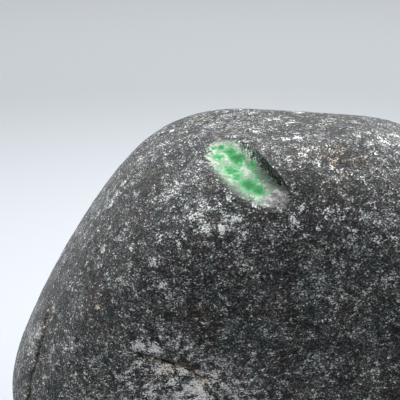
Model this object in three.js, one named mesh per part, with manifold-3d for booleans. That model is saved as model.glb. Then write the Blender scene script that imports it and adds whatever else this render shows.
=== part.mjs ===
// A raw jade boulder: a water-worn cobble in its dark skin, with one small almond-shaped window ground
// through the skin on its upper left shoulder. Millimetres, +Z up. The origin is on the surface the stone
// lies on, below the middle of its bounding box; +X is its length and -Y is the side with the window.

import * as THREE from 'three';
import { mergeVertices } from 'three/addons/utils/BufferGeometryUtils.js';
import Module from 'manifold-3d';

// The stone's shape is measured outwards from its heart, a point deep inside it.
const HEART = [0.6, 0.8, 51];

// A higher number leaves the edges between the worn faces crisper.
const EDGE_CRISPNESS = 12;

// Splits of each icosahedron edge: the triangles are about 4 mm across.
const SKIN_DETAIL = 17;

// Worn faces: azimuth and elevation of the way each one looks, in degrees, and its distance from the heart.
const WORN_FACES = [
  { name: 'top', azimuth: 60, elevation: 86, distance: 55.4 },
  { name: 'upper left shoulder', azimuth: 186, elevation: 56, distance: 60 },
  { name: 'front left shoulder', azimuth: 232, elevation: 46, distance: 64 },
  { name: 'left slope', azimuth: 180, elevation: 30, distance: 62 },
  { name: 'left flank', azimuth: 180, elevation: -14, distance: 84.5 },
  { name: 'left front', azimuth: 222, elevation: 20, distance: 66 },
  { name: 'front', azimuth: 268, elevation: 0, distance: 51 },
  { name: 'front brow', azimuth: 280, elevation: 40, distance: 69 },
  { name: 'back', azimuth: 92, elevation: 2, distance: 51 },
  { name: 'back brow', azimuth: 95, elevation: 44, distance: 59 },
  { name: 'right flank', azimuth: 0, elevation: -8, distance: 80 },
  { name: 'upper right', azimuth: 8, elevation: 30, distance: 69 },
  { name: 'right shoulder', azimuth: 2, elevation: 58, distance: 64 },
  { name: 'right front', azimuth: 322, elevation: 2, distance: 67 },
  { name: 'right front brow', azimuth: 318, elevation: 44, distance: 68 },
  { name: 'right back', azimuth: 42, elevation: 6, distance: 66 },
  { name: 'left back', azimuth: 138, elevation: 12, distance: 66 },
  { name: 'underside', azimuth: 0, elevation: -90, distance: 53.5 },
  { name: 'lower front', azimuth: 272, elevation: -44, distance: 56 },
  { name: 'lower back', azimuth: 90, elevation: -40, distance: 57 },
  { name: 'lower left', azimuth: 180, elevation: -54, distance: 70 },
  { name: 'lower left front', azimuth: 226, elevation: -44, distance: 73 },
  { name: 'lower right', azimuth: 0, elevation: -46, distance: 71 },
  { name: 'lower right front', azimuth: 315, elevation: -44, distance: 69 },
];

// Long swells left by uneven wear: the wave's direction and number, its phase and its height.
const SWELLS = [
  { wave: [2.1, -1.3, 2.6], phase: 0.4, height: 0.9 },
  { wave: [-3.4, 2.2, 1.7], phase: 2.0, height: 0.8 },
  { wave: [1.2, 4.1, -3.0], phase: 4.4, height: 0.7 },
  { wave: [5.3, -2.0, 3.7], phase: 1.1, height: 0.45 },
  { wave: [-2.5, -5.8, 4.4], phase: 5.2, height: 0.4 },
  { wave: [6.9, 4.6, -1.5], phase: 3.0, height: 0.35 },
];

// Soft dents and bumps: where each one is, its half-width in radians seen from the heart, and its height.
const DENTS = [
  { name: 'valley on the brow', azimuth: 287, elevation: 54, spread: 0.14, height: -1.3 },
  { name: 'dip below the valley', azimuth: 276, elevation: 45, spread: 0.11, height: -0.8 },
  { name: 'hollow under the window', azimuth: 257, elevation: 38, spread: 0.12, height: -0.9 },
  { name: 'knob beside the hollow', azimuth: 246, elevation: 38, spread: 0.08, height: 0.5 },
  { name: 'old spall on the front', azimuth: 239, elevation: 1, spread: 0.24, height: -1.2 },
  { name: 'nick on the left flank', azimuth: 206, elevation: -3, spread: 0.1, height: -0.7 },
  { name: 'swelling on the top', azimuth: 320, elevation: 59, spread: 0.2, height: 0.6 },
  { name: 'flat behind the shoulder', azimuth: 150, elevation: 72, spread: 0.3, height: -1.5 },
  { name: 'saddle in the back', azimuth: 75, elevation: 12, spread: 0.4, height: -2.2 },
  { name: 'dish on the right end', azimuth: 12, elevation: 24, spread: 0.3, height: -1.5 },
  { name: 'dish on the back shoulder', azimuth: 140, elevation: 48, spread: 0.28, height: -1.2 },
  { name: 'belly on the lower front', azimuth: 300, elevation: -8, spread: 0.34, height: 1.2 },
];

// The window is the stone that an ellipsoid takes away: long along its run, wide across it, and shallow.
// The ellipsoid leans, so that its upper right side leaves a steep wall and its lower left side feathers out.
const WINDOW_CENTRE = [-14.2, -28.7, 102.9];
const WINDOW_RUN = [0.41, -0.87, -0.25];
const WINDOW_OUTWARD = [0.07, -0.25, 0.97];
const WINDOW_HALF_LENGTH = 42;
const WINDOW_HALF_WIDTH = 7.4;
const WINDOW_HALF_DEPTH = 3.85;
const WINDOW_SEGMENTS = 96;
const WINDOW_RINGS = 48;

const SKIN_MATERIAL = new THREE.MeshStandardMaterial({ color: 0x4b4e4d, roughness: 0.5, metalness: 0 });

// The unit vector that points along an azimuth (0 = +X, 90 = +Y) and an elevation, in degrees.
function lookAlong(azimuth, elevation) {
  const polar = THREE.MathUtils.degToRad(90 - elevation);
  const turn = THREE.MathUtils.degToRad(azimuth);
  return new THREE.Vector3(
    Math.sin(polar) * Math.cos(turn),
    Math.sin(polar) * Math.sin(turn),
    Math.cos(polar),
  );
}

const faceNormals = WORN_FACES.map((face) => lookAlong(face.azimuth, face.elevation));
const dentCentres = DENTS.map((dent) => lookAlong(dent.azimuth, dent.elevation));
const swellWaves = SWELLS.map((swell) => new THREE.Vector3(...swell.wave));

// Distance from the heart to the skin. The worn faces meet in rounded edges, because each one's share is
// raised to a power before they are added; the swells and dents are laid over that.
function skinRadius(direction) {
  let share = 0;
  WORN_FACES.forEach((face, i) => {
    const facing = Math.max(0, direction.dot(faceNormals[i]));
    share += (facing / face.distance) ** EDGE_CRISPNESS;
  });
  let radius = share ** (-1 / EDGE_CRISPNESS);
  SWELLS.forEach((swell, i) => {
    radius += swell.height * Math.sin(direction.dot(swellWaves[i]) + swell.phase);
  });
  DENTS.forEach((dent, i) => {
    const away = direction.distanceToSquared(dentCentres[i]) / dent.spread ** 2;
    radius += dent.height * Math.exp(-away);
  });
  return radius;
}

// The worn cobble before the window was ground. Its lowest part is worn to a true flat, which it lies on.
function wornCobble() {
  const geometry = new THREE.IcosahedronGeometry(1, SKIN_DETAIL);
  const heart = new THREE.Vector3(...HEART);
  const positions = geometry.attributes.position;
  const point = new THREE.Vector3();
  for (let i = 0; i < positions.count; i += 1) {
    point.fromBufferAttribute(positions, i).normalize();
    point.multiplyScalar(skinRadius(point)).add(heart);
    point.z = Math.max(point.z, 0);
    positions.setXYZ(i, point.x, point.y, point.z);
  }
  return geometry;
}

// The ellipsoid that grinding the window takes away.
function windowTool() {
  const run = new THREE.Vector3(...WINDOW_RUN).normalize();
  const outward = new THREE.Vector3(...WINDOW_OUTWARD);
  outward.addScaledVector(run, -outward.dot(run)).normalize();
  const across = new THREE.Vector3().crossVectors(outward, run);
  const geometry = new THREE.SphereGeometry(1, WINDOW_SEGMENTS, WINDOW_RINGS);
  geometry.rotateZ(Math.PI / 2);
  geometry.scale(WINDOW_HALF_LENGTH, WINDOW_HALF_WIDTH, WINDOW_HALF_DEPTH);
  geometry.applyMatrix4(new THREE.Matrix4().makeBasis(run, across, outward));
  geometry.translate(...WINDOW_CENTRE);
  return geometry;
}

const wasm = await Module();
wasm.setup();

// A closed geometry as a solid that can be cut.
function asSolid(geometry) {
  geometry.deleteAttribute('normal');
  geometry.deleteAttribute('uv');
  const merged = mergeVertices(geometry, 1e-4);
  const vertProperties = new Float32Array(merged.attributes.position.array);
  const triVerts = new Uint32Array(merged.index.array);
  return new wasm.Manifold(new wasm.Mesh({ numProp: 3, vertProperties, triVerts }));
}

// A cut solid as a geometry again.
function asGeometry(solid) {
  const mesh = solid.getMesh();
  const geometry = new THREE.BufferGeometry();
  geometry.setAttribute('position', new THREE.BufferAttribute(mesh.vertProperties, 3));
  geometry.setIndex(new THREE.BufferAttribute(mesh.triVerts, 1));
  geometry.computeVertexNormals();
  return geometry;
}

function makeBoulder() {
  const geometry = asGeometry(asSolid(wornCobble()).subtract(asSolid(windowTool())));
  const boulder = new THREE.Mesh(geometry, SKIN_MATERIAL);
  boulder.name = 'boulder';
  return boulder;
}

const part = new THREE.Group();
part.add(makeBoulder());

export default part;
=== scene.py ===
"""The look of the raw jade boulder: its pitted, grainy skin and the jade in its ground window.

The stone's tables and its material are in millimetres in the part's frame: +X is the stone's length, -Y is
the side with the window and +Z is up. The floor, the light and the camera are in metres.
"""

import math
from types import SimpleNamespace

import bmesh
import bpy
import numpy as np
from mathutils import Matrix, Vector, noise


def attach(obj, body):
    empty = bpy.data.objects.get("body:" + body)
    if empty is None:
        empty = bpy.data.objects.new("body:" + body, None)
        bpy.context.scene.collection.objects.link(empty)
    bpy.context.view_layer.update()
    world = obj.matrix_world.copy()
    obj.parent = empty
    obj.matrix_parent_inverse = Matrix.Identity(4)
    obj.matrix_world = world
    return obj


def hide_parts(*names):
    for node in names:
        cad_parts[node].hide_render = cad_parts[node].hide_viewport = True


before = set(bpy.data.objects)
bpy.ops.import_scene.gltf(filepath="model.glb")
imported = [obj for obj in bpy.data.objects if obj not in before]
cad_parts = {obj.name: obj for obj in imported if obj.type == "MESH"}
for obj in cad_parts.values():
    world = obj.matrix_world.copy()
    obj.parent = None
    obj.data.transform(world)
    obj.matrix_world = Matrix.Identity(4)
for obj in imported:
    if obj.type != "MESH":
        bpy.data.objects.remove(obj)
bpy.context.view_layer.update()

MM = 0.001

# ---------------------------------------------------------------- the stone's shape, as the CAD part has it

HEART = np.array([0.6, 0.8, 51.0])
EDGE_CRISPNESS = 12

# Worn faces: azimuth and elevation of the way each one looks, in degrees, and its distance from the heart.
WORN_FACES = {
    "top": (60, 86, 55.4),
    "upper left shoulder": (186, 56, 60),
    "front left shoulder": (232, 46, 64),
    "left slope": (180, 30, 62),
    "left flank": (180, -14, 84.5),
    "left front": (222, 20, 66),
    "front": (268, 0, 51),
    "front brow": (280, 40, 69),
    "back": (92, 2, 51),
    "back brow": (95, 44, 59),
    "right flank": (0, -8, 80),
    "upper right": (8, 30, 69),
    "right shoulder": (2, 58, 64),
    "right front": (322, 2, 67),
    "right front brow": (318, 44, 68),
    "right back": (42, 6, 66),
    "left back": (138, 12, 66),
    "underside": (0, -90, 53.5),
    "lower front": (272, -44, 56),
    "lower back": (90, -40, 57),
    "lower left": (180, -54, 70),
    "lower left front": (226, -44, 73),
    "lower right": (0, -46, 71),
    "lower right front": (315, -44, 69),
}

# Long swells: the wave's direction and number, its phase and its height.
SWELLS = [
    ((2.1, -1.3, 2.6), 0.4, 0.9),
    ((-3.4, 2.2, 1.7), 2.0, 0.8),
    ((1.2, 4.1, -3.0), 4.4, 0.7),
    ((5.3, -2.0, 3.7), 1.1, 0.45),
    ((-2.5, -5.8, 4.4), 5.2, 0.4),
    ((6.9, 4.6, -1.5), 3.0, 0.35),
]

# Dents and bumps: azimuth, elevation, half-width in radians seen from the heart, and height.
DENTS = {
    "valley on the brow": (287, 54, 0.14, -1.3),
    "dip below the valley": (276, 45, 0.11, -0.8),
    "hollow under the window": (257, 38, 0.12, -0.9),
    "knob beside the hollow": (246, 38, 0.08, 0.5),
    "old spall on the front": (239, 1, 0.24, -1.2),
    "nick on the left flank": (206, -3, 0.1, -0.7),
    "swelling on the top": (320, 59, 0.2, 0.6),
    "flat behind the shoulder": (150, 72, 0.3, -1.5),
    "saddle in the back": (75, 12, 0.4, -2.2),
    "dish on the right end": (12, 24, 0.3, -1.5),
    "dish on the back shoulder": (140, 48, 0.28, -1.2),
    "belly on the lower front": (300, -8, 0.34, 1.2),
}

# The ellipsoid that the window was ground with: its middle, its three directions and its half sizes.
WINDOW_CENTRE = np.array([-14.2, -28.7, 102.9])
WINDOW_RUN = (0.41, -0.87, -0.25)
WINDOW_OUTWARD = (0.07, -0.25, 0.97)
WINDOW_HALF_SIZES = np.array([42.0, 7.4, 3.85])
RIM_ROUNDING = 0.22  # how far the rim's rounding reaches
CLEAR_OF_SKIN = 10.0  # how far outside the skin the ground surface is taken to lie where nothing was ground

# ---------------------------------------------------------------- the detail that only the looks have

GRID_CELLS = 102  # quads along each edge of the cube that the mesh is blown up from
WINDOW_ZONE = (-17.0, 24.0, -8.0, 9.5)  # the stretch along and across the window that gets a finer mesh
WINDOW_ZONE_DEPTH = 12.0  # how far above and below the window's middle that finer mesh may lie
CRACK_REACH = 1.6  # how far from a crack the mesh is finer
FINE_CUTS = 3  # how many times each edge is cut there
UV_MAP = "OFBake"  # the UV map meant for baking the material's colours into
UV_MARGIN = 0.012  # the bare border of each square in the UV map, as a share of the square

# Cracks: depth, half-width and the points that each one passes.
CRACKS = {
    "through the pale patch": (0.6, 0.4, [
        (-37.3, -47.5, 58.6),
        (-34.1, -48.3, 58.4),
        (-30.6, -49.0, 57.7),
        (-27.7, -49.5, 57.1),
        (-25.3, -49.8, 56.0),
        (-21.9, -50.2, 53.8),
    ]),
    "its fainter end": (0.35, 0.3, [
        (-21.9, -50.2, 53.8),
        (-19.5, -50.4, 50.6),
        (-16.0, -50.6, 46.0),
    ]),
    "its branch": (0.4, 0.3, [
        (-27.7, -49.6, 57.6),
        (-24.8, -50.1, 60.7),
        (-21.9, -50.6, 61.7),
    ]),
    "short one above the patch": (0.3, 0.25, [
        (-34.2, -47.9, 67.3),
        (-33.0, -48.4, 65.4),
        (-32.0, -48.8, 62.9),
    ]),
    "down the left flank": (0.6, 0.6, [
        (-62.9, -21.8, 57.2),
        (-63.2, -24.2, 54.8),
        (-64.2, -26.3, 50.9),
        (-65.8, -27.9, 45.9),
        (-67.1, -28.8, 42.2),
        (-67.1, -31.1, 39.3),
        (-66.0, -33.5, 31.0),
    ]),
}

# Wide places where the skin is paler: where each one is, its radius and its strength.
PALE_ZONES = [
    # the pale patch low on the front
    ((-25.5, -49.7, 53.5), 11.0, 1.5), ((-37.0, -47.5, 48.0), 8.0, 0.8), ((-16.0, -50.6, 44.0), 10.0, 1.5),
    ((-44.0, -46.0, 40.0), 9.0, 0.6),
    # round the window and on the left flank
    ((-17.0, -43.5, 92.0), 5.5, 0.55), ((-45.0, -12.5, 87.0), 6.0, 0.45), ((-28.0, -26.0, 96.5), 7.0, 0.3),
    ((-66.0, -18.0, 48.0), 12.0, 0.7),
    # the top
    ((26.0, -20.0, 104.5), 9.0, 0.5), ((10.0, -44.5, 94.0), 6.0, 0.3), ((-2.0, -14.0, 106.0), 12.0, 0.2),
    # the back and the right end
    ((-50.0, 20.0, 84.0), 9.0, 0.6), ((20.0, 46.0, 70.0), 12.0, 0.7), ((-25.0, 50.0, 45.0), 9.0, 0.8),
    ((62.0, 12.0, 60.0), 10.0, 0.6),
]

# Solid pale clumps of grains, in the same layout.
PALE_CLUMPS = [
    # below the window
    ((-14.9, -40.1, 96.2), 1.0, 1.2), ((-17.6, -40.8, 94.6), 1.6, 0.8), ((-13.1, -44.0, 92.5), 1.2, 1.2),
    ((-17.2, -45.1, 90.3), 1.5, 1.0), ((-20.7, -43.9, 90.7), 1.6, 0.9), ((-23.1, -40.5, 92.3), 1.6, 0.8),
    ((-11.7, -45.9, 89.4), 1.1, 0.8), ((-8.6, -42.0, 96.0), 1.5, 0.9), ((2.2, -44.1, 95.2), 1.0, 1.2),
    ((0.3, -45.5, 93.2), 1.6, 0.7),
    # the top, in front
    ((3.0, -20.5, 106.4), 1.4, 1.0), ((0.2, -20.5, 106.1), 1.3, 0.9), ((4.0, -23.0, 106.3), 1.0, 0.8),
    ((3.1, -31.0, 104.6), 1.6, 0.8), ((5.0, -28.8, 105.2), 1.3, 0.7), ((9.4, -35.0, 102.4), 1.5, 0.9),
    ((6.9, -33.5, 103.4), 1.3, 1.0), ((25.3, -19.1, 105.2), 2.4, 1.0), ((29.3, -10.9, 104.4), 3.0, 0.9),
    ((21.3, -27.7, 104.4), 1.2, 0.9),
    # the top, further back
    ((-6.9, -9.6, 105.4), 1.8, 0.8), ((6.4, 12.8, 104.9), 2.6, 0.9), ((-2.3, 1.5, 105.7), 2.2, 0.8),
    ((3.0, -4.4, 106.3), 1.8, 0.7), ((-30.0, 8.4, 100.8), 1.2, 1.2), ((-26.3, 2.2, 102.1), 1.0, 1.0),
    # the brow
    ((20.1, -47.2, 88.3), 1.2, 0.9), ((14.6, -47.0, 90.0), 1.2, 0.7), ((8.8, -44.6, 94.4), 1.6, 0.7),
    ((12.3, -45.1, 93.8), 1.3, 0.7), ((6.4, -46.3, 91.5), 1.4, 0.5),
    # the left shoulder and slope
    ((-31.2, -22.7, 96.7), 1.6, 0.6), ((-26.7, -43.6, 87.0), 1.8, 0.7), ((-30.7, -47.2, 76.9), 1.6, 0.7),
    ((-33.5, -43.4, 81.3), 1.4, 0.7), ((-31.6, -39.9, 86.9), 1.6, 0.6), ((-47.6, -38.2, 67.3), 0.8, 1.4),
    ((-46.9, -31.7, 75.9), 0.7, 1.2), ((-46.6, -28.5, 78.8), 1.4, 0.8), ((-44.3, -11.6, 88.1), 1.7, 1.2),
    ((-45.5, -13.1, 86.3), 1.5, 1.2), ((-42.3, -8.4, 90.7), 1.4, 1.2),
    # the pale patch low on the front
    ((-44.1, -46.0, 51.6), 1.3, 0.9), ((-36.5, -47.6, 60.8), 2.0, 1.2), ((-33.0, -48.4, 60.6), 2.2, 1.4),
    ((-26.5, -49.8, 54.8), 1.8, 1.1), ((-38.4, -47.4, 53.4), 1.4, 0.9), ((-28.8, -49.4, 52.0), 2.4, 0.95),
    ((-22.0, -50.2, 49.8), 3.6, 1.0), ((-31.5, -48.8, 54.5), 2.4, 0.9), ((-18.5, -50.5, 54.0), 2.4, 0.95),
    ((-35.0, -48.0, 48.0), 2.8, 0.8), ((-25.5, -49.8, 46.0), 3.6, 0.95), ((-36.8, -47.6, 56.5), 1.6, 0.8),
    # the left flank, the right end and the back
    ((-63.6, -19.6, 54.0), 1.0, 0.9), ((-61.0, -22.0, 60.0), 0.9, 0.9), ((-62.7, -20.0, 58.5), 1.0, 1.0),
    ((66.0, -10.0, 40.0), 3.0, 0.9), ((-5.0, 48.0, 78.0), 2.4, 0.9), ((45.0, -40.0, 40.0), 3.0, 0.8),
    ((30.0, 42.0, 84.0), 2.2, 1.0),
]

# Brown iron stains, in the same layout.
STAINS = [
    ((12.4, -31.3, 103.9), 4.5, 0.8), ((7.3, -39.1, 100.2), 4.0, 0.6), ((-24.3, -50.2, 69.6), 2.2, 1.0),
    ((-22.6, -50.3, 71.2), 2.4, 0.8), ((-31.0, -49.0, 57.0), 6.0, 0.45), ((-20.0, -50.5, 52.5), 5.0, 0.45),
    ((-48.0, -38.0, 66.0), 4.0, 0.6), ((-63.0, -22.0, 57.0), 3.0, 0.8), ((30.0, 44.0, 52.0), 6.0, 0.8),
    ((-58.0, 25.0, 50.0), 7.0, 0.6), ((58.0, -22.0, 70.0), 5.0, 0.6),
]

# Dark places where few grains are left, in the same layout.
DARK_PLACES = [
    ((-6.8, -45.2, 92.4), 2.6, 0.7), ((-15.7, -46.2, 88.5), 3.0, 0.7), ((7.3, -41.5, 98.5), 3.5, 0.6),
    ((-23.4, -50.2, 70.2), 2.4, 0.9), ((12.0, -50.0, 66.0), 12.0, 0.2), ((-62.5, -12.0, 60.0), 4.0, 0.3),
    ((-28.0, -16.0, 99.5), 9.0, 1.0), ((-38.0, -20.0, 92.0), 9.0, 0.75), ((-50.0, -27.0, 72.0), 13.0, 0.25),
    ((5.0, -38.5, 100.5), 4.0, 0.5), ((-24.0, -30.5, 97.5), 4.0, 0.45), ((20.0, -35.0, 101.0), 7.0, 0.25),
]

# Emerald blotches in the window: place along and across it, radius along and across, and strength.
EMERALD_BLOTCHES = [
    (-12.1, 1.2, 1.2, 0.9, 0.8), (-11.4, 3.0, 1.0, 0.9, 1.3), (-7.7, 0.5, 2.0, 1.5, 0.8),
    (-8.0, 4.0, 2.1, 1.4, 1.05), (-4.6, 4.0, 2.5, 1.6, 1.4), (-0.6, 0.6, 2.7, 1.9, 0.95),
    (2.4, 0.8, 2.2, 1.6, 0.85), (7.4, 1.6, 3.0, 2.0, 1.4), (10.6, 2.6, 2.3, 1.6, 1.25),
    (0.8, 5.6, 2.6, 1.2, 0.7), (5.4, 5.0, 2.2, 1.2, 0.6),
]

# White crystals in the jade, in the same layout.
WHITE_BLOTCHES = [
    (12.9, 1.0, 1.4, 1.0, 1.2), (11.8, 0.0, 1.0, 0.7, 0.9), (13.8, 5.6, 1.8, 0.5, 0.9),
    (16.6, 6.0, 1.4, 0.4, 0.8), (15.2, 3.2, 1.2, 0.7, 0.7), (17.0, 1.2, 1.2, 0.9, 0.9),
    (-9.6, -1.6, 1.4, 1.0, 0.7), (-5.2, 1.8, 1.8, 0.9, 0.6), (0.6, 3.0, 2.0, 0.8, 0.6),
]

# Rust lines on the window's upper right side, in the same layout.
RUST_LINES = [
    (-6.4, 6.2, 1.6, 0.35, 0.9), (-2.6, 5.4, 1.9, 0.35, 0.9), (-12.0, 4.4, 1.6, 0.4, 0.7),
]

# ---------------------------------------------------------------- the stone's shape


def look_along(azimuth, elevation):
    """The unit vector along an azimuth (0 = +X, 90 = +Y) and an elevation, in degrees."""
    turn = math.radians(azimuth)
    rise = math.radians(elevation)
    return np.array([math.cos(rise) * math.cos(turn), math.cos(rise) * math.sin(turn), math.sin(rise)])


def skin_radius(directions):
    """Distance from the heart to the worn skin along each direction."""
    share = 0
    for azimuth, elevation, distance in WORN_FACES.values():
        facing = np.maximum(directions @ look_along(azimuth, elevation), 0)
        share = share + (facing / distance) ** EDGE_CRISPNESS
    radius = share ** (-1 / EDGE_CRISPNESS)
    for wave, phase, height in SWELLS:
        radius = radius + height * np.sin(directions @ np.array(wave) + phase)
    for azimuth, elevation, spread, height in DENTS.values():
        away = ((directions - look_along(azimuth, elevation)) ** 2).sum(axis=1)
        radius = radius + height * np.exp(-away / spread ** 2)
    return radius


def window_axes():
    """The window's directions along, across and outwards, as the rows of a matrix."""
    run = np.array(WINDOW_RUN) / np.linalg.norm(WINDOW_RUN)
    outward = np.array(WINDOW_OUTWARD) - np.dot(WINDOW_OUTWARD, run) * run
    outward = outward / np.linalg.norm(outward)
    return np.array([run, np.cross(outward, run), outward])


def window_place(points):
    """Each point's place along, across and out of the window."""
    return (points - WINDOW_CENTRE) @ window_axes().T


def ground_radius(directions, skin):
    """Distance from the heart to the surface left by the grinding, with the rim slightly rounded."""
    start = window_place(HEART) / WINDOW_HALF_SIZES
    step = (directions @ window_axes().T) / WINDOW_HALF_SIZES
    # A ray from the heart meets the ellipsoid at the two roots of a quadratic in the distance.
    square_term = (step ** 2).sum(axis=1)
    half_linear_term = step @ start
    constant_term = (start ** 2).sum() - 1
    under_root = half_linear_term ** 2 - square_term * constant_term
    root = np.sqrt(np.maximum(under_root, 0))
    entry = (-half_linear_term - root) / square_term
    leaving = (-half_linear_term + root) / square_term
    is_cut = (under_root > 0) & (leaving > skin)
    entry = np.where(is_cut, entry, skin + CLEAR_OF_SKIN)
    lower = np.minimum(skin, entry)
    apart = np.abs(skin - entry)
    return lower - RIM_ROUNDING * np.log1p(np.exp(-apart / RIM_ROUNDING))


def noise_field(points, size, shift=0.0):
    """Smooth noise from about -1 to 1 at each point, with features of a given size in millimetres."""
    offset = Vector((shift, shift * 1.7, shift * -0.6))
    return np.array([noise.noise(Vector(point) + offset) for point in points / size])


def distance_to_route(points, route):
    """Distance from each point to a chain of straight stretches."""
    nearest = np.full(len(points), np.inf)
    for start, end in zip(route[:-1], route[1:]):
        start = np.array(start)
        along = np.array(end) - start
        share = np.clip((points - start) @ along / (along @ along), 0, 1)
        gap = np.linalg.norm(points - start - share[:, None] * along, axis=1)
        nearest = np.minimum(nearest, gap)
    return nearest


def unit_rows(vectors):
    """The vectors in an array's rows, each made one long."""
    return vectors / np.linalg.norm(vectors, axis=1)[:, None]


def smooth_step(values, low, high):
    """Goes smoothly from 0 to 1 while the values go from low to high."""
    share = np.clip((values - low) / (high - low), 0, 1)
    return share * share * (3 - 2 * share)


def spots(points, table):
    """The strongest of the round spots in a table at each point."""
    strength = np.zeros(len(points))
    for centre, radius, peak in table:
        away = ((points - np.array(centre)) ** 2).sum(axis=1)
        strength = np.maximum(strength, peak * np.exp(-away / radius ** 2))
    return strength


def blotches(place, table):
    """The strongest of the window's blotches at each place along and across it."""
    strength = np.zeros(len(place))
    for along, across, half_long, half_wide, peak in table:
        away = ((place[:, 0] - along) / half_long) ** 2 + ((place[:, 1] - across) / half_wide) ** 2
        strength = np.maximum(strength, peak * np.exp(-away))
    return strength


def crack_lines(points):
    """Depth of the cracks at each point. Their edges wander."""
    wander = 0.3 * noise_field(points, 2.2, 31.0) + 0.25 * noise_field(points, 0.9, 33.0)
    depth = np.zeros(len(points))
    for deepest, half_width, route in CRACKS.values():
        gap = distance_to_route(points, route) + wander
        depth = np.maximum(depth, deepest * np.exp(-(np.maximum(gap, 0) / half_width) ** 2))
    return depth


def skin_relief(points):
    """How far the weathered skin lies under the worn shape: lumps, grain, clusters of pits, and cracks."""
    lumps = 0.16 * noise_field(points, 11.0, 3.0) + 0.1 * noise_field(points, 4.5, 8.0)
    clusters = smooth_step(noise_field(points, 14.0, 17.0), -0.15, 0.35)
    pits = smooth_step(noise_field(points, 1.9, 23.0), 0.12, 0.6)
    grain = 0.05 * noise_field(points, 1.0, 5.0)
    return 0.12 - lumps - grain + (0.08 + 0.24 * clusters) * pits + crack_lines(points)


def window_relief(points):
    """How far the ground surface lies under the ellipsoid. Its steep side is rougher."""
    steep = smooth_step(window_place(points)[:, 1], 4.0, 6.5)
    relief = 0.07 * noise_field(points, 2.4, 41.0) + 0.03 * noise_field(points, 0.9, 44.0)
    return relief + 0.35 * steep * noise_field(points, 1.6, 47.0)


def stone_points(directions, skin, ground):
    """The finished surface: weathered outside the window, and ground smooth inside it."""
    skin_points = HEART + directions * skin[:, None]
    in_window = smooth_step(skin - ground, 0.15, 0.7)
    relief = (1 - in_window) * skin_relief(skin_points) + in_window * window_relief(skin_points)
    points = HEART + directions * (ground - relief)[:, None]
    points[:, 2] = np.maximum(points[:, 2], 0)
    return points


# ---------------------------------------------------------------- the stone's mesh


def side_points(mesh, axis, sign):
    """The points of one side of a cube, in rows, pushed out to the unit sphere."""
    first = (axis + 1) % 3
    second = (axis + 2) % 3
    turns = np.tan(np.linspace(-math.pi / 4, math.pi / 4, GRID_CELLS + 1))
    rows = []
    for up in turns:
        row = []
        for sideways in turns:
            direction = [0.0, 0.0, 0.0]
            direction[axis] = sign
            direction[first] = sideways * sign
            direction[second] = up
            row.append(mesh.verts.new(Vector(direction).normalized()))
        rows.append(row)
    return rows


def side_faces(mesh, rows, uv_map, column, line):
    """The quads of one side, laid flat in its own square of the UV map, which has two columns of three."""
    for j in range(GRID_CELLS):
        for i in range(GRID_CELLS):
            corners = [(i, j), (i + 1, j), (i + 1, j + 1), (i, j + 1)]
            face = mesh.faces.new([rows[y][x] for x, y in corners])
            for loop, (x, y) in zip(face.loops, corners):
                across = UV_MARGIN + (1 - 2 * UV_MARGIN) * x / GRID_CELLS
                up = UV_MARGIN + (1 - 2 * UV_MARGIN) * y / GRID_CELLS
                loop[uv_map].uv = ((column + across) / 2, (line + up) / 3)


def cube_sphere(mesh):
    """Fills a bmesh with a cube of six square grids, blown up to a unit sphere."""
    uv_map = mesh.loops.layers.uv.new(UV_MAP)
    sides = [(axis, sign) for axis in range(3) for sign in (-1, 1)]
    for number, (axis, sign) in enumerate(sides):
        rows = side_points(mesh, axis, sign)
        side_faces(mesh, rows, uv_map, number % 2, number // 2)
    bmesh.ops.remove_doubles(mesh, verts=mesh.verts, dist=1e-5)
    mesh.verts.index_update()
    mesh.verts.ensure_lookup_table()


def refine(mesh):
    """Splits the mesh more finely round the window and along the cracks."""
    directions = unit_rows(np.array([vert.co for vert in mesh.verts]))
    points = HEART + directions * skin_radius(directions)[:, None]
    place = window_place(points)
    low_run, high_run, low_across, high_across = WINDOW_ZONE
    inside = (place[:, 0] > low_run) & (place[:, 0] < high_run)
    inside &= (place[:, 1] > low_across) & (place[:, 1] < high_across)
    inside &= np.abs(place[:, 2]) < WINDOW_ZONE_DEPTH
    for _, _, route in CRACKS.values():
        inside |= distance_to_route(points, route) < CRACK_REACH
    edges = [edge for edge in mesh.edges if all(inside[vert.index] for vert in edge.verts)]
    bmesh.ops.subdivide_edges(mesh, edges=edges, cuts=FINE_CUTS, use_grid_fill=True)


def sphere_mesh():
    """A unit sphere of triangles, finer where the stone needs it."""
    sphere = bmesh.new()
    cube_sphere(sphere)
    refine(sphere)
    bmesh.ops.triangulate(sphere, faces=sphere.faces)
    mesh = bpy.data.meshes.new("boulder_skin")
    sphere.to_mesh(mesh)
    sphere.free()
    return mesh


def boulder_mesh():
    """The stone as one closed mesh, with what its material needs to know at each point."""
    mesh = sphere_mesh()
    flat = np.empty(3 * len(mesh.vertices))
    mesh.vertices.foreach_get("co", flat)
    directions = unit_rows(flat.reshape(-1, 3))
    skin = skin_radius(directions)
    ground = ground_radius(directions, skin)
    points = stone_points(directions, skin, ground)
    mesh.vertices.foreach_set("co", (points * MM).ravel())

    skin_points = HEART + directions * skin[:, None]
    place = window_place(points)
    store(mesh, "ground_depth", skin - ground)
    store(mesh, "along", place[:, 0])
    store(mesh, "across", place[:, 1])
    store(mesh, "emerald", blotches(place, EMERALD_BLOTCHES))
    store(mesh, "white", blotches(place, WHITE_BLOTCHES))
    store(mesh, "rust", blotches(place, RUST_LINES))
    store(mesh, "pale", spots(skin_points, PALE_CLUMPS))
    store(mesh, "rich", spots(skin_points, PALE_ZONES))
    store(mesh, "stain", spots(skin_points, STAINS))
    store(mesh, "dark", spots(skin_points, DARK_PLACES))
    store(mesh, "crack", crack_lines(skin_points))
    mesh.shade_smooth()
    mesh.update()
    return mesh


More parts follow.
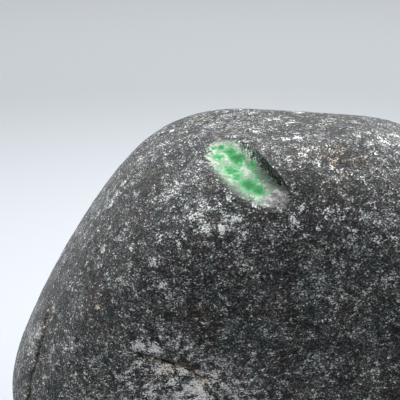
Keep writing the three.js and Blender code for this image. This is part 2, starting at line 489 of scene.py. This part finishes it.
def store(mesh, name, values):
    """Keeps one number for each point of a mesh."""
    layer = mesh.attributes.new(name, "FLOAT", "POINT")
    layer.data.foreach_set("value", np.asarray(values, dtype=np.float32))


# ---------------------------------------------------------------- the stone's material

BEDDING_TILT = math.radians(10)
BEDDING_STRETCH = (1.3, 1.9, 1.0)  # how far the grains are drawn out: along X, along Y and up
CRYSTAL_SIZE = 0.3

# How light the skin is: typically, at its darkest, at its lightest, and on its pale clumps.
SKIN_SHADE = 0.0435
DARKEST_SKIN = 0.008
LIGHTEST_SKIN = 0.62
PALE_SHADE = 0.62

# Tints that the skin's shade is multiplied by.
GREENISH = (0.91, 1.02, 0.98)
PURPLISH = (1.04, 0.98, 1.03)
WARM = (1.06, 1.01, 0.9)
PALE_GRAIN = (0.98, 1.0, 0.97)
IRON_BROWN = (1.22, 0.97, 0.72)

# The jade in the window.
DULL_CREAM = (0.22, 0.3, 0.21)
BRIGHT_CREAM = (0.46, 0.51, 0.41)
GREEN_GREY_EDGE = (0.09, 0.125, 0.09)
WHITE_CRYSTAL = (0.38, 0.44, 0.37)
GREEN_HALO = (0.1, 0.33, 0.165)
EMERALD_DARKER = (0.001, 0.2, 0.035)
EMERALD_LIGHTER = (0.01, 0.32, 0.08)
EMERALD_DEEP = (0.0005, 0.09, 0.018)
# Painted shade on the jade below the steep wall.
PAINTED_SHADE_BELOW_WALL = (0.06, 0.085, 0.065)
# A painted shadow just inside the window's upper rim.
PAINTED_RIM_SHADOW = (0.05, 0.065, 0.05)
RUST = (0.1, 0.065, 0.04)
DARK_CRYSTALS = (0.15, 0.145, 0.14)
PINK_WHITE_CRYSTALS = (0.38, 0.36, 0.36)
WALL_TINT = (0.92, 1.05, 0.95)

# Gloss, and the dusty sheen of the dry stone.
SKIN_ROUGHNESS = 0.47
JADE_ROUGHNESS = 0.34
SPECULAR_LEVEL = 0.08
DUST_SHEEN = 0.2
SHEEN_ROUGHNESS = 0.3

# Most of the noise node's output lies within this spread of its middle.
NOISE_MIDDLE = 0.5
NOISE_SPREAD = 0.18


class NodeSheet:
    """Adds nodes to a new material. An input takes a number, a colour or another node's output."""

    def __init__(self, name):
        self.material = bpy.data.materials.new(name)
        self.material.use_nodes = True
        self.tree = self.material.node_tree
        self.shader = self.tree.nodes["Principled BSDF"]
        place = self.tree.nodes.new("ShaderNodeTexCoord")
        scaled = self.tree.nodes.new("ShaderNodeVectorMath")
        scaled.operation = "SCALE"
        scaled.inputs["Scale"].default_value = 1 / MM
        self.tree.links.new(place.outputs["Object"], scaled.inputs[0])
        self.millimetres = scaled.outputs[0]
        self.bedded = self.stretch()

    def stretch(self):
        """The place in millimetres, squeezed so that patterns are drawn out along the bedding."""
        node = self.tree.nodes.new("ShaderNodeMapping")
        node.inputs["Rotation"].default_value = (0, BEDDING_TILT, 0)
        node.inputs["Scale"].default_value = [1 / amount for amount in BEDDING_STRETCH]
        self.tree.links.new(self.millimetres, node.inputs["Vector"])
        return node.outputs[0]

    def feed(self, socket, value):
        """Gives a node's input its value, or links it to another node's output."""
        if isinstance(value, bpy.types.NodeSocket):
            self.tree.links.new(value, socket)
        elif isinstance(value, tuple):
            socket.default_value = (*value, 1.0) if len(socket.default_value) == 4 else value
        else:
            socket.default_value = value

    def noise(self, size, detail=2.0, roughness=0.5, distortion=0.0, shift=0.0, place=None):
        """Noise round 0, mostly from -1 to 1, with features of a given size in millimetres."""
        moved = self.tree.nodes.new("ShaderNodeVectorMath")
        moved.operation = "ADD"
        self.feed(moved.inputs[0], place or self.millimetres)
        self.feed(moved.inputs[1], (shift, -shift, 2 * shift))
        node = self.tree.nodes.new("ShaderNodeTexNoise")
        self.feed(node.inputs["Vector"], moved.outputs[0])
        self.feed(node.inputs["Scale"], 1 / size)
        self.feed(node.inputs["Detail"], detail)
        self.feed(node.inputs["Roughness"], roughness)
        self.feed(node.inputs["Distortion"], distortion)
        low = NOISE_MIDDLE - NOISE_SPREAD
        high = NOISE_MIDDLE + NOISE_SPREAD
        return self.band(node.outputs["Fac"], low, high, -1.7, 1.7, "LINEAR")

    def cells(self, size, wobble, place):
        """A random number from 0 to 1 for each crystal of a given size in millimetres, ragged in outline."""
        ragged = self.tree.nodes.new("ShaderNodeTexNoise")
        self.feed(ragged.inputs["Vector"], self.millimetres)
        self.feed(ragged.inputs["Scale"], 1.6 / size)
        self.feed(ragged.inputs["Detail"], 1.0)
        centred = self.tree.nodes.new("ShaderNodeVectorMath")
        centred.operation = "SUBTRACT"
        self.feed(centred.inputs[0], ragged.outputs["Color"])
        self.feed(centred.inputs[1], (NOISE_MIDDLE,) * 3)
        moved = self.tree.nodes.new("ShaderNodeVectorMath")
        moved.operation = "MULTIPLY_ADD"
        self.feed(moved.inputs[0], centred.outputs[0])
        self.feed(moved.inputs[1], (wobble * size,) * 3)
        self.feed(moved.inputs[2], place)
        node = self.tree.nodes.new("ShaderNodeTexVoronoi")
        self.feed(node.inputs["Vector"], moved.outputs[0])
        self.feed(node.inputs["Scale"], 1 / size)
        part = self.tree.nodes.new("ShaderNodeSeparateColor")
        self.feed(part.inputs[0], node.outputs["Color"])
        return part.outputs[0]

    def attribute(self, name):
        """One of the numbers that the mesh keeps for each point."""
        node = self.tree.nodes.new("ShaderNodeAttribute")
        node.attribute_name = name
        return node.outputs["Fac"]

    def math(self, operation, first, second=0.0):
        """One step of arithmetic on one or two values."""
        node = self.tree.nodes.new("ShaderNodeMath")
        node.operation = operation
        self.feed(node.inputs[0], first)
        self.feed(node.inputs[1], second)
        return node.outputs[0]

    def total(self, *parts):
        """The sum of pairs of a value and its weight."""
        result = 0.0
        for value, weight in parts:
            result = self.math("ADD", result, self.math("MULTIPLY", value, weight))
        return result

    def band(self, value, low, high, out_low=0.0, out_high=1.0, kind="SMOOTHSTEP"):
        """Goes from out_low to out_high while the value goes from low to high."""
        node = self.tree.nodes.new("ShaderNodeMapRange")
        node.interpolation_type = kind
        self.feed(node.inputs["Value"], value)
        self.feed(node.inputs["From Min"], low)
        self.feed(node.inputs["From Max"], high)
        self.feed(node.inputs["To Min"], out_low)
        self.feed(node.inputs["To Max"], out_high)
        return node.outputs["Result"]

    def mix(self, share, first, second):
        """The first colour where the share is 0, and the second where it is 1."""
        node = self.tree.nodes.new("ShaderNodeMix")
        node.data_type = "RGBA"
        self.feed(node.inputs["Factor"], share)
        self.feed(node.inputs[6], first)
        self.feed(node.inputs[7], second)
        return node.outputs[2]

    def scale_colour(self, colour, amount):
        """A colour made lighter or darker."""
        node = self.tree.nodes.new("ShaderNodeVectorMath")
        node.operation = "SCALE"
        self.feed(node.inputs[0], colour)
        self.feed(node.inputs["Scale"], amount)
        return node.outputs[0]


def skin_patterns(sheet):
    """The patterns that several layers of the stone share."""
    crystals = sheet.cells(CRYSTAL_SIZE, 0.8, sheet.bedded)
    steps = sheet.band(crystals, 0.0, 1.0, -1.6, 1.6, "LINEAR")
    fine = sheet.noise(CRYSTAL_SIZE, 2.0, 0.6, 0.2, place=sheet.bedded)
    broken = sheet.band(fine, -1.2, 0.6, 0.25, 1.0)
    return SimpleNamespace(
        grains=sheet.total((fine, 0.7), (steps, 0.5)),
        glints=sheet.band(crystals, 0.9, 1.0),
        flakes=sheet.noise(1.6, 2.0, 0.6, 0.4, 7.0, sheet.bedded),
        clumps=sheet.noise(6.0, 3.0, 0.6, 0.5, 19.0),
        crack=sheet.math("MULTIPLY", sheet.attribute("crack"), broken),
        rich=sheet.attribute("rich"),
    )


def skin_shade(sheet, pattern):
    """How light the skin is between its clumps: dark stone packed with lighter grains, glints and wisps."""
    wisps = sheet.math("ABSOLUTE", sheet.noise(1.5, 1.5, 0.6, 1.2, 11.0, sheet.bedded))
    wisps = sheet.band(wisps, 0.0, 0.22, 1.0, 0.0)
    drifts = sheet.noise(24.0, 2.0, 0.5, 0.0, 37.0)
    patchy = sheet.total((1.0, 0.8), (pattern.flakes, 0.45), (pattern.clumps, 0.2))
    log_shade = sheet.total(
        (1.0, math.log(SKIN_SHADE)),
        (pattern.grains, 1.42),
        (pattern.glints, 0.8),
        (wisps, 0.75),
        (pattern.flakes, 0.5),
        (pattern.clumps, 0.45),
        (drifts, 0.2),
        (sheet.math("MULTIPLY", pattern.rich, patchy), 1.0),
        (sheet.attribute("dark"), -0.9),
        (pattern.crack, -2.6),
    )
    shade = sheet.math("MINIMUM", sheet.math("EXPONENT", log_shade), LIGHTEST_SKIN)
    return sheet.math("ADD", shade, DARKEST_SKIN)


def with_pale_clumps(sheet, pattern, shade):
    """The shade with small flecks scattered over it, and the larger clumps where the mesh has them."""
    flecks = sheet.total(
        (sheet.noise(0.9, 3.0, 0.7, 0.6, 61.0), 0.65),
        (pattern.flakes, 0.45),
        (pattern.clumps, 0.35),
        (pattern.grains, 0.4),
    )
    clump = sheet.total(
        (sheet.attribute("pale"), 1.0),
        (pattern.flakes, 0.28),
        (pattern.grains, 0.36),
        (pattern.crack, -2.0),
    )
    flecks = sheet.band(flecks, 1.4, 2.3, 0.0, 0.8)
    clump = sheet.math("MAXIMUM", sheet.band(clump, 0.45, 1.0, 0.0, 0.95), flecks)
    pale = sheet.total((1.0, PALE_SHADE), (pattern.grains, 0.2), (pattern.rich, 0.12))
    return sheet.band(clump, 0.0, 1.0, shade, pale, "LINEAR")


def skin_tint(sheet, pattern, shade):
    """Faint drifting greens, purples and warm greys, and brown where iron has stained the stone."""
    drift = sheet.band(sheet.noise(6.0, 2.0, 0.5, 0.0, 53.0), -0.5, 0.5)
    tint = sheet.mix(drift, GREENISH, PURPLISH)
    warm = sheet.band(sheet.noise(8.0, 2.0, 0.5, 0.0, 71.0), 0.1, 0.7)
    tint = sheet.mix(warm, tint, WARM)
    tint = sheet.mix(sheet.band(shade, 0.05, 0.3), tint, PALE_GRAIN)
    stain = sheet.math("MULTIPLY", sheet.attribute("stain"), sheet.band(pattern.flakes, -0.9, 0.5))
    stain = sheet.total((stain, 1.0), (pattern.crack, 1.5))
    return sheet.mix(sheet.math("MINIMUM", stain, 1.0), tint, IRON_BROWN)


def skin_colour(sheet, pattern):
    """Dark green-grey stone packed with pale grains, in clumps, with drifting tints and brown stains."""
    shade = with_pale_clumps(sheet, pattern, skin_shade(sheet, pattern))
    return sheet.scale_colour(skin_tint(sheet, pattern, shade), shade)


def jade_patterns(sheet):
    """The patterns that the layers of the jade share: curdled, sugary and veiled."""
    curds = sheet.noise(0.8, 3.0, 0.65, 0.5, 83.0, sheet.bedded)
    sugar = sheet.noise(0.35, 2.0, 0.6, 0.0, 97.0, sheet.bedded)
    veil = sheet.noise(2.2, 2.0, 0.5, 0.3, 91.0)
    across = sheet.attribute("across")
    return SimpleNamespace(
        curds=curds,
        sugar=sugar,
        veil=veil,
        along=sheet.attribute("along"),
        across=across,
        ragged_across=sheet.total((across, 1.0), (veil, 0.4), (curds, 0.45)),
        white=sheet.total((sheet.attribute("white"), 1.0), (curds, 0.25), (sugar, 0.15)),
    )


def cream_body(sheet, jade):
    """Cream-green jade, duller towards the window's lower left edge, with white crystals."""
    body = sheet.mix(sheet.band(jade.veil, -0.5, 0.5), DULL_CREAM, BRIGHT_CREAM)
    inwards = sheet.total((jade.across, 1.0), (jade.along, -0.2), (jade.curds, 0.5))
    body = sheet.mix(sheet.band(inwards, -4.5, -0.7), GREEN_GREY_EDGE, body)
    return sheet.mix(sheet.band(jade.white, 0.3, 0.9), body, WHITE_CRYSTAL)


def with_emerald(sheet, jade, body):
    """Lays the emerald blotches over the jade: a pale halo, the emerald, and a deep middle."""
    emerald = sheet.total((sheet.attribute("emerald"), 1.0), (jade.curds, 0.22), (jade.sugar, 0.08))
    body = sheet.mix(sheet.band(emerald, 0.0, 0.45, 0.0, 0.5), body, GREEN_HALO)
    green = sheet.mix(sheet.band(jade.sugar, -0.8, 0.8), EMERALD_DARKER, EMERALD_LIGHTER)
    body = sheet.mix(sheet.band(emerald, 0.12, 0.85), body, green)
    deep = sheet.total((emerald, 1.0), (jade.sugar, 0.25))
    return sheet.mix(sheet.band(deep, 0.8, 1.35, 0.0, 0.95), body, EMERALD_DEEP)


def with_painted_shade_and_rust(sheet, jade, body):
    """Lays painted shade on the jade below the steep wall and a painted shadow just inside the upper rim,
    and adds the rust lines.
    """
    # Painted shade where the steep wall shades the jade, stronger towards the window's lower end.
    shade_below_wall = sheet.band(jade.ragged_across, 4.0, 5.6)
    shade_below_wall = sheet.math("MULTIPLY", shade_below_wall, sheet.band(jade.along, 0.0, 6.0, 0.0, 0.8))
    body = sheet.mix(shade_below_wall, body, PAINTED_SHADE_BELOW_WALL)
    # A painted shadow just inside the upper rim, where the rim shades the ground surface.
    rim_shadow = sheet.total((sheet.attribute("ground_depth"), 1.0), (jade.curds, 0.12))
    rim_shadow = sheet.band(rim_shadow, 0.2, 0.9, 0.75, 0.0)
    rim_shadow = sheet.math("MULTIPLY", rim_shadow, sheet.band(jade.ragged_across, 1.5, 4.0))
    body = sheet.mix(rim_shadow, body, PAINTED_RIM_SHADOW)
    rust = sheet.total((sheet.attribute("rust"), 1.0), (jade.curds, 0.3))
    return sheet.mix(sheet.band(rust, 0.35, 0.9, 0.0, 0.8), body, RUST)


def with_grey_end(sheet, jade, body):
    """Turns the jade to grey crystals at the window's lower end."""
    grey = sheet.mix(sheet.band(jade.white, 0.0, 0.9), DARK_CRYSTALS, PINK_WHITE_CRYSTALS)
    ending = sheet.total((jade.along, 1.0), (jade.ragged_across, 0.6), (jade.veil, 0.8))
    return sheet.mix(sheet.band(ending, 14.0, 17.0), body, grey)


def jade_colour(sheet):
    """Pale cream-green jade with emerald blotches, painted shade below the steep wall and a painted shadow
    inside the upper rim, greying towards the window's lower end.
    """
    jade = jade_patterns(sheet)
    body = cream_body(sheet, jade)
    body = with_emerald(sheet, jade, body)
    body = with_painted_shade_and_rust(sheet, jade, body)
    body = with_grey_end(sheet, jade, body)
    sparkle = sheet.math("EXPONENT", sheet.total((jade.sugar, 0.16), (jade.curds, 0.1)))
    return sheet.scale_colour(body, sparkle)


def wall_colour(sheet, pattern):
    """The steep side of the window, cut through dark mottled stone, with painted shade that makes it darkest
    towards the lower end.
    """
    # Painted shade: lighter at the upper end, darkest at the lower end where the wall lies in shadow.
    shade = sheet.band(sheet.attribute("along"), -6.0, 7.0, 0.17, 0.04)
    mottling = sheet.total((pattern.grains, 1.2), (sheet.noise(1.4, 3.0, 0.6, 0.4, 13.0), 0.8))
    shade = sheet.math("MULTIPLY", shade, sheet.math("EXPONENT", mottling))
    return sheet.scale_colour(WALL_TINT, shade)


def bare_jade(sheet, pattern, ragged):
    """Goes from 0 on the skin to 1 where the grinding has gone through the rind, with a ragged border."""
    ground = sheet.attribute("ground_depth")
    depth = sheet.total(
        (ground, 1.0),
        (sheet.attribute("along"), -0.025),
        (sheet.attribute("across"), 0.1),
        (pattern.grains, 0.25),
        (ragged, 0.4),
    )
    return sheet.band(depth, 0.05, 0.9, 0.0, sheet.band(ground, 0.02, 0.15))


def fine_relief(sheet, pattern, bare):
    """Bumps the shading with the grains and flakes. The ground jade is smoother."""
    fine = sheet.noise(CRYSTAL_SIZE, 1.0)
    height = sheet.total((pattern.grains, 0.06), (pattern.flakes, 0.06), (fine, 0.02))
    height = sheet.math("MULTIPLY", height, sheet.band(bare, 0.0, 1.0, 1.0, 0.3, "LINEAR"))
    bump = sheet.tree.nodes.new("ShaderNodeBump")
    sheet.feed(bump.inputs["Strength"], 1.0)
    sheet.feed(bump.inputs["Distance"], MM)
    sheet.feed(bump.inputs["Height"], height)
    return bump.outputs[0]


def stone_material():
    """Skin outside, and jade where the window is ground deeper than the rind."""
    sheet = NodeSheet("jade_boulder")
    pattern = skin_patterns(sheet)
    ragged = sheet.noise(0.9, 2.0, 0.6, 0.3, 29.0)
    wall = sheet.band(sheet.total((sheet.attribute("across"), 1.0), (ragged, 0.4)), 6.1, 7.1)
    inside = sheet.mix(wall, jade_colour(sheet), wall_colour(sheet, pattern))
    bare = bare_jade(sheet, pattern, ragged)
    gloss = sheet.total((1.0, SKIN_ROUGHNESS), (pattern.grains, -0.05), (pattern.flakes, 0.03))
    gloss = sheet.band(bare, 0.0, 1.0, gloss, JADE_ROUGHNESS, "LINEAR")
    inputs = sheet.shader.inputs
    sheet.feed(inputs["Base Color"], sheet.mix(bare, skin_colour(sheet, pattern), inside))
    sheet.feed(inputs["Roughness"], gloss)
    sheet.feed(inputs["Specular IOR Level"], SPECULAR_LEVEL)
    sheet.feed(inputs["Sheen Weight"], DUST_SHEEN)
    sheet.feed(inputs["Sheen Roughness"], SHEEN_ROUGHNESS)
    sheet.feed(inputs["Normal"], fine_relief(sheet, pattern, bare))
    return sheet.material


def make_boulder():
    """The stone, in place of its plain CAD solid."""
    boulder = bpy.data.objects.new("boulder_stone", boulder_mesh())
    bpy.context.scene.collection.objects.link(boulder)
    boulder.data.materials.append(stone_material())
    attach(boulder, "root")
    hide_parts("boulder")


# ---------------------------------------------------------------- floor, light and camera, in metres

FLOOR_RADIUS = 0.95
WALL_BEND = 0.45
WALL_HEIGHT = 1.2
BEND_STEPS = 12
FLOOR_STEPS = 96
PAPER_ROUGHNESS = 0.9

# The paper's colour near the stone and far from it, a painted falloff of light, and how far out each is
# reached, in millimetres.
PAPER_PAINTED_LIGHT = (0.405, 0.42, 0.445)
PAPER_PAINTED_SHADE = (0.215, 0.225, 0.235)
NEAR_REACH = 60.0
FAR_REACH = 560.0

SOFTBOX_SIZE = (2.0, 1.4)
SOFTBOX_PLACE = (0.1, 0.75, 1.2)
SOFTBOX_WATTS = 46
SKY_COLOUR = (0.93, 0.96, 1.0, 1.0)
SKY_STRENGTH = 1.35

CAMERA_TARGET = (-0.0219, -0.0292, 0.0924)
CAMERA_DISTANCE = 0.278
CAMERA_ELEVATION = math.radians(18)
FOCAL_LENGTH = 100  # millimetres, as the sensor's width is
SENSOR_WIDTH = 36
NEAREST_VISIBLE = 0.01


def paper_material():
    """Pale paper with painted light: lighter near the stone and greyer away from it, as a painted falloff of
    the light.
    """
    sheet = NodeSheet("floor_paper")
    reach = sheet.tree.nodes.new("ShaderNodeVectorMath")
    reach.operation = "LENGTH"
    sheet.feed(reach.inputs[0], sheet.millimetres)
    share = sheet.band(reach.outputs["Value"], NEAR_REACH, FAR_REACH)
    # Painted light and shade: the paper is lighter near the stone and greyer far from it.
    sheet.feed(sheet.shader.inputs["Base Color"], sheet.mix(share, PAPER_PAINTED_LIGHT, PAPER_PAINTED_SHADE))
    sheet.feed(sheet.shader.inputs["Roughness"], PAPER_ROUGHNESS)
    return sheet.material


def make_floor():
    """A pale floor that bends up into a wall all round, so that every view has a plain background."""
    profile = [(0.0, 0.0), (FLOOR_RADIUS * 0.5, 0.0), (FLOOR_RADIUS, 0.0)]
    for step in range(1, BEND_STEPS + 1):
        turn = math.pi / 2 * step / BEND_STEPS
        profile.append((FLOOR_RADIUS + WALL_BEND * math.sin(turn), WALL_BEND * (1 - math.cos(turn))))
    profile.append((FLOOR_RADIUS + WALL_BEND, WALL_HEIGHT))
    bowl = bmesh.new()
    verts = [bowl.verts.new((reach, 0, height)) for reach, height in profile]
    edges = [bowl.edges.new(pair) for pair in zip(verts[:-1], verts[1:])]
    bmesh.ops.spin(bowl, geom=verts + edges, axis=(0, 0, 1), cent=(0, 0, 0), angle=2 * math.pi,
                   steps=FLOOR_STEPS, use_merge=True)
    bmesh.ops.remove_doubles(bowl, verts=bowl.verts, dist=1e-5)
    bmesh.ops.recalc_face_normals(bowl, faces=bowl.faces)
    mesh = bpy.data.meshes.new("floor")
    bowl.to_mesh(mesh)
    bowl.free()
    mesh.shade_smooth()
    mesh.materials.append(paper_material())
    floor = bpy.data.objects.new("floor", mesh)
    bpy.context.scene.collection.objects.link(floor)


def make_light():
    """One large softbox above and behind the stone, and an even fill from all round."""
    softbox = bpy.data.lights.new("softbox", "AREA")
    softbox.shape = "RECTANGLE"
    softbox.size, softbox.size_y = SOFTBOX_SIZE
    softbox.energy = SOFTBOX_WATTS
    light = bpy.data.objects.new("softbox", softbox)
    light.location = SOFTBOX_PLACE
    light.rotation_euler = (-Vector(SOFTBOX_PLACE)).to_track_quat("-Z", "Y").to_euler()
    bpy.context.scene.collection.objects.link(light)
    world = bpy.data.worlds.new("studio")
    world.use_nodes = True
    sky = world.node_tree.nodes["Background"]
    sky.inputs["Color"].default_value = SKY_COLOUR
    sky.inputs["Strength"].default_value = SKY_STRENGTH
    bpy.context.scene.world = world


def make_camera():
    """A long lens close to the window end, looking slightly down at the stone's upper left."""
    forward = Vector((0, math.cos(CAMERA_ELEVATION), -math.sin(CAMERA_ELEVATION)))
    lens = bpy.data.cameras.new("camera")
    lens.lens = FOCAL_LENGTH
    lens.sensor_width = SENSOR_WIDTH
    lens.clip_start = NEAREST_VISIBLE
    camera = bpy.data.objects.new("camera", lens)
    camera.location = Vector(CAMERA_TARGET) - forward * CAMERA_DISTANCE
    camera.rotation_euler = forward.to_track_quat("-Z", "Y").to_euler()
    bpy.context.scene.collection.objects.link(camera)
    bpy.context.scene.camera = camera


make_camera()
make_floor()
make_light()
make_boulder()
bpy.context.scene.view_settings.view_transform = "Standard"
